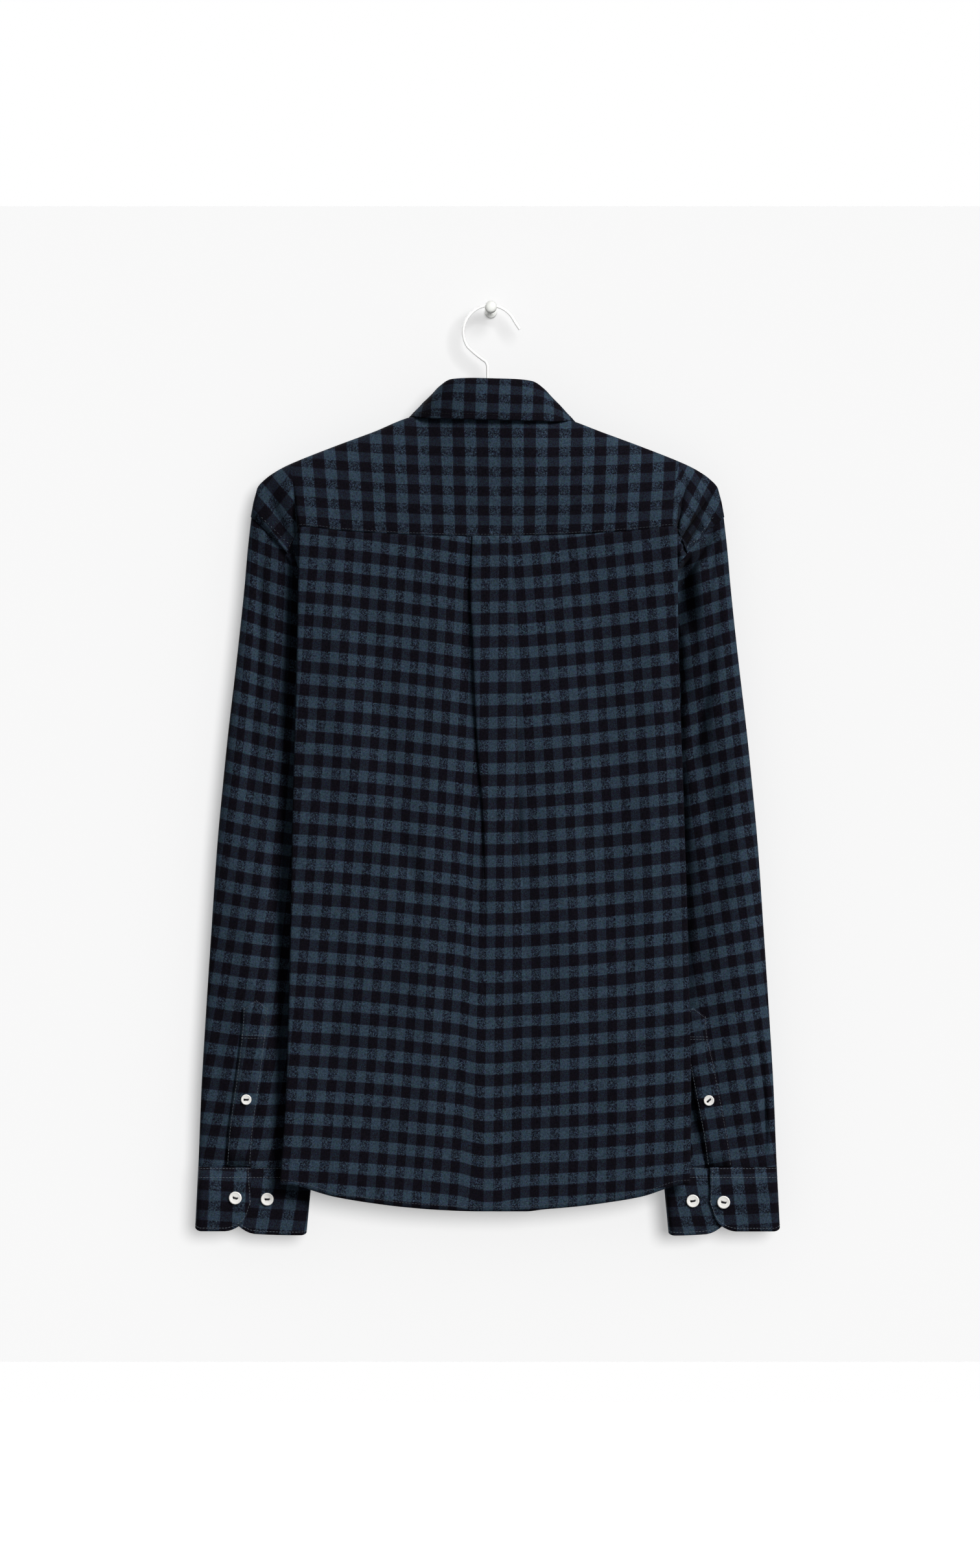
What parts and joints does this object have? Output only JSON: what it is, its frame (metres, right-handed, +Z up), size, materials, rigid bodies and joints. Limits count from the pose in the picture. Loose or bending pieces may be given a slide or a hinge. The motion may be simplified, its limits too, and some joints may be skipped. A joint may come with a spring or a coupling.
{
  "type": "flannel shirt on a hanger",
  "caption": "Long-sleeved checked flannel shirt with a pointed collar, yoke, box pleat and buttoned cuffs, hung by a wire hanger from a turned wall peg",
  "frame": {"origin": "the middle of the peg's back face, which lies on the wall; the wall is the plane Y = 0 and the shirt hangs in front of it", "axes": "+Z up; +X to the right for someone who faces the wall; -Y away from the wall, the side the shirt's back faces"},
  "size_m": [0.5446, 0.0644, 0.8662],
  "materials": {
    "flannel": "brushed flannel in a two-colour gingham check of navy and blue-grey",
    "button": "pearly off-white, turned, with a rim",
    "hanger_wire": "smooth white coating",
    "peg_wood": "turned and painted off-white, satin"
  },
  "bodies": {
    "root": {"back": "flannel", "yoke": "flannel", "front_left": "flannel", "front_right": "flannel", "front_placket": "flannel", "collar_band": "flannel", "collar_leaf": "flannel", "sleeve_left": "flannel", "sleeve_right": "flannel", "sleeve_placket_left": "flannel", "sleeve_placket_right": "flannel", "cuff_left": "flannel", "cuff_right": "flannel", "button_collar": "button", "button_front_1": "button", "button_front_2": "button", "button_front_3": "button", "button_front_4": "button", "button_front_5": "button", "button_front_6": "button", "button_sleeve_left": "button", "button_sleeve_right": "button", "button_cuff_left_1": "button", "button_cuff_left_2": "button", "button_cuff_right_1": "button", "button_cuff_right_2": "button", "hanger": "hanger_wire", "peg": "peg_wood"}
  },
  "joints": []
}
